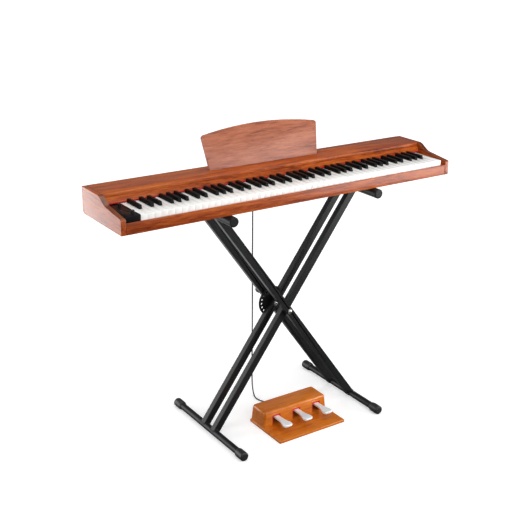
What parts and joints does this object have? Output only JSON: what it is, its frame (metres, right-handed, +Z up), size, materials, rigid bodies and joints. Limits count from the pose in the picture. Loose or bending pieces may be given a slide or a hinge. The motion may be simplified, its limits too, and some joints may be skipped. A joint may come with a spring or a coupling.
{
  "type": "digital piano on stand",
  "caption": "Slab digital piano in a wood-veneer case on a folding double X stand, with a removable music rest and a wired three-pedal floor unit.",
  "frame": {"origin": "on the floor, at the middle of the piano's length and of the stand's foot tubes", "axes": "+X along the keyboard from the bass to the treble end, +Y from the player to the rear, +Z up"},
  "size_m": [1.327, 0.4724, 1.0828],
  "materials": {
    "wood": "reddish brown open-grain veneer, satin",
    "pedal_wood": "orange brown veneer, satin",
    "dark_board": "painted dark fibreboard",
    "black_plastic": "black, semi-gloss",
    "knob_plastic": "black, satin",
    "white_plastic": "ivory white, semi-gloss",
    "red_felt": "red felt",
    "black_steel": "black powder coat",
    "black_rubber": "matt",
    "bright_steel": "polished nickel",
    "cord": "dark grey PVC",
    "circuit_board": "green solder mask"
  },
  "bodies": {
    "pedal_unit": {"pedal_base": "pedal_wood", "pedal_housing": "pedal_wood", "pedal_felt": "red_felt", "pedal_axle": "bright_steel", "cord_relief": "black_rubber", "pedal_cord": "cord"},
    "stand_hub": {"pivot_bolt_front": "bright_steel", "pivot_bolt_rear": "bright_steel"},
    "frame_a": {"leg_a_front": "black_steel", "leg_a_rear": "black_steel", "foot_a": "black_steel", "foot_cap_a_front": "black_rubber", "foot_cap_a_rear": "black_rubber", "arm_a": "black_steel", "sleeve_a": "black_rubber"},
    "frame_b": {"leg_b_front": "black_steel", "leg_b_rear": "black_steel", "foot_b": "black_steel", "foot_cap_b_front": "black_rubber", "foot_cap_b_rear": "black_rubber", "arm_b": "black_steel", "sleeve_b": "black_rubber", "lock_disc": "black_steel"},
    "lock_knob": {"lock_knob": "black_rubber"},
    "piano": {"cheek_left": "wood", "cheek_right": "wood", "top_panel": "wood", "fallboard": "wood", "key_felt": "red_felt", "front_rail": "wood", "bottom_panel": "dark_board", "back_panel": "dark_board", "speaker_left": "black_plastic", "speaker_right": "black_plastic", "key_frame": "dark_board", "main_board": "circuit_board", "control_panel": "black_plastic", "right_key_block": "wood", "pedal_plug": "black_rubber"},
    "music_rest": {"music_rest": "wood"},
    "volume_knob": {"volume_knob": "knob_plastic"},
    "tone_knob": {"tone_knob": "knob_plastic"},
    "power_button": {"power_button": "knob_plastic"},
    "pedal_soft": {"pedal_soft": "bright_steel"},
    "pedal_sostenuto": {"pedal_sostenuto": "bright_steel"},
    "pedal_damper": {"pedal_damper": "bright_steel"},
    "white_keys_1": {"white_keys_1": "white_plastic"},
    "black_keys_1": {"black_keys_1": "black_plastic"},
    "white_keys_2": {"white_keys_2": "white_plastic"},
    "black_keys_2": {"black_keys_2": "black_plastic"},
    "white_keys_3": {"white_keys_3": "white_plastic"},
    "black_keys_3": {"black_keys_3": "black_plastic"},
    "white_keys_4": {"white_keys_4": "white_plastic"},
    "black_keys_4": {"black_keys_4": "black_plastic"},
    "white_keys_5": {"white_keys_5": "white_plastic"},
    "black_keys_5": {"black_keys_5": "black_plastic"},
    "white_keys_6": {"white_keys_6": "white_plastic"},
    "black_keys_6": {"black_keys_6": "black_plastic"},
    "white_keys_7": {"white_keys_7": "white_plastic"},
    "black_keys_7": {"black_keys_7": "black_plastic"}
  },
  "joints": [
    {"name": "stand_fold", "type": "hinge", "parent": "stand_hub", "child": "frame_b", "pos_m": [0.0189, 0, 0.42885], "axis": [0, -1, 0], "range_deg": [0, 31]},
    {"name": "stand_fold_other", "type": "hinge", "parent": "stand_hub", "child": "frame_a", "pos_m": [0.0189, 0, 0.42885], "axis": [0, 1, 0], "range_deg": [0, 31]},
    {"name": "stand_lift", "type": "slide", "parent": "pedal_unit", "child": "stand_hub", "axis": [0, 0, 1], "range_m": [0, 0.2818]},
    {"name": "piano_lift", "type": "slide", "parent": "pedal_unit", "child": "piano", "axis": [0, 0, 1], "range_m": [0, 0.4496], "deforming": ["pedal_cord"]},
    {"name": "lock_pull", "type": "slide", "parent": "frame_a", "child": "lock_knob", "axis": [0, 1, 0], "range_m": [0, 0.007], "stiffness_N_per_m": 600, "springref_m": -0.006},
    {"name": "rest_lift_off", "type": "slide", "parent": "piano", "child": "music_rest", "axis": [0, 0.2672, 0.9636], "range_m": [0, 0.08]},
    {"name": "volume_turn", "type": "hinge", "parent": "piano", "child": "volume_knob", "pos_m": [-0.6083, -0.1185, 0.9145], "axis": [0, 0, 1], "range_deg": [-140, 140]},
    {"name": "tone_turn", "type": "hinge", "parent": "piano", "child": "tone_knob", "pos_m": [-0.6115, -0.0365, 0.9145], "axis": [0, 0, 1], "range_deg": [-140, 140]},
    {"name": "power_press", "type": "slide", "parent": "piano", "child": "power_button", "axis": [0, 0, -1], "range_m": [0, 0.0012], "stiffness_N_per_m": 400, "springref_m": -0.001},
    {"name": "soft_press", "type": "hinge", "parent": "pedal_unit", "child": "pedal_soft", "pos_m": [-0.0538, -0.032, 0.0405], "axis": [1, 0, 0], "range_deg": [0, 6.5], "stiffness_Nm_per_rad": 12, "springref_deg": -6.88},
    {"name": "sostenuto_press", "type": "hinge", "parent": "pedal_unit", "child": "pedal_sostenuto", "pos_m": [0.0355, -0.032, 0.0405], "axis": [1, 0, 0], "range_deg": [0, 6.5], "stiffness_Nm_per_rad": 12, "springref_deg": -6.88},
    {"name": "damper_press", "type": "hinge", "parent": "pedal_unit", "child": "pedal_damper", "pos_m": [0.1248, -0.032, 0.0405], "axis": [1, 0, 0], "range_deg": [0, 6.5], "stiffness_Nm_per_rad": 12, "springref_deg": -6.88},
    {"name": "white_press_1", "type": "hinge", "parent": "piano", "child": "white_keys_1", "pos_m": [-0.48785, 0.0815, 0.9045], "axis": [1, 0, 0], "range_deg": [0, 2.5], "stiffness_Nm_per_rad": 14, "springref_deg": -8.59},
    {"name": "black_press_1", "type": "hinge", "parent": "piano", "child": "black_keys_1", "pos_m": [-0.48785, 0.0815, 0.9045], "axis": [1, 0, 0], "range_deg": [0, 2.5], "stiffness_Nm_per_rad": 6, "springref_deg": -8.59},
    {"name": "white_press_2", "type": "hinge", "parent": "piano", "child": "white_keys_2", "pos_m": [-0.29985, 0.0815, 0.9045], "axis": [1, 0, 0], "range_deg": [0, 2.5], "stiffness_Nm_per_rad": 14, "springref_deg": -8.59},
    {"name": "black_press_2", "type": "hinge", "parent": "piano", "child": "black_keys_2", "pos_m": [-0.29985, 0.0815, 0.9045], "axis": [1, 0, 0], "range_deg": [0, 2.5], "stiffness_Nm_per_rad": 6, "springref_deg": -8.59},
    {"name": "white_press_3", "type": "hinge", "parent": "piano", "child": "white_keys_3", "pos_m": [-0.13535, 0.0815, 0.9045], "axis": [1, 0, 0], "range_deg": [0, 2.5], "stiffness_Nm_per_rad": 14, "springref_deg": -8.59},
    {"name": "black_press_3", "type": "hinge", "parent": "piano", "child": "black_keys_3", "pos_m": [-0.13535, 0.0815, 0.9045], "axis": [1, 0, 0], "range_deg": [0, 2.5], "stiffness_Nm_per_rad": 6, "springref_deg": -8.59},
    {"name": "white_press_4", "type": "hinge", "parent": "piano", "child": "white_keys_4", "pos_m": [0.02915, 0.0815, 0.9045], "axis": [1, 0, 0], "range_deg": [0, 2.5], "stiffness_Nm_per_rad": 14, "springref_deg": -8.59},
    {"name": "black_press_4", "type": "hinge", "parent": "piano", "child": "black_keys_4", "pos_m": [0.02915, 0.0815, 0.9045], "axis": [1, 0, 0], "range_deg": [0, 2.5], "stiffness_Nm_per_rad": 6, "springref_deg": -8.59},
    {"name": "white_press_5", "type": "hinge", "parent": "piano", "child": "white_keys_5", "pos_m": [0.19365, 0.0815, 0.9045], "axis": [1, 0, 0], "range_deg": [0, 2.5], "stiffness_Nm_per_rad": 14, "springref_deg": -8.59},
    {"name": "black_press_5", "type": "hinge", "parent": "piano", "child": "black_keys_5", "pos_m": [0.19365, 0.0815, 0.9045], "axis": [1, 0, 0], "range_deg": [0, 2.5], "stiffness_Nm_per_rad": 6, "springref_deg": -8.59},
    {"name": "white_press_6", "type": "hinge", "parent": "piano", "child": "white_keys_6", "pos_m": [0.35815, 0.0815, 0.9045], "axis": [1, 0, 0], "range_deg": [0, 2.5], "stiffness_Nm_per_rad": 14, "springref_deg": -8.59},
    {"name": "black_press_6", "type": "hinge", "parent": "piano", "child": "black_keys_6", "pos_m": [0.35815, 0.0815, 0.9045], "axis": [1, 0, 0], "range_deg": [0, 2.5], "stiffness_Nm_per_rad": 6, "springref_deg": -8.59},
    {"name": "white_press_7", "type": "hinge", "parent": "piano", "child": "white_keys_7", "pos_m": [0.5344, 0.0815, 0.9045], "axis": [1, 0, 0], "range_deg": [0, 2.5], "stiffness_Nm_per_rad": 14, "springref_deg": -8.59},
    {"name": "black_press_7", "type": "hinge", "parent": "piano", "child": "black_keys_7", "pos_m": [0.5344, 0.0815, 0.9045], "axis": [1, 0, 0], "range_deg": [0, 2.5], "stiffness_Nm_per_rad": 6, "springref_deg": -8.59}
  ],
  "couplings": [
    {"joint": "stand_fold_other", "follows": "stand_fold", "ratio": 1},
    {"joint": "stand_lift", "follows": "stand_fold", "m_per_rad": 0.52},
    {"joint": "piano_lift", "follows": "stand_fold", "m_per_rad": 0.83}
  ]
}
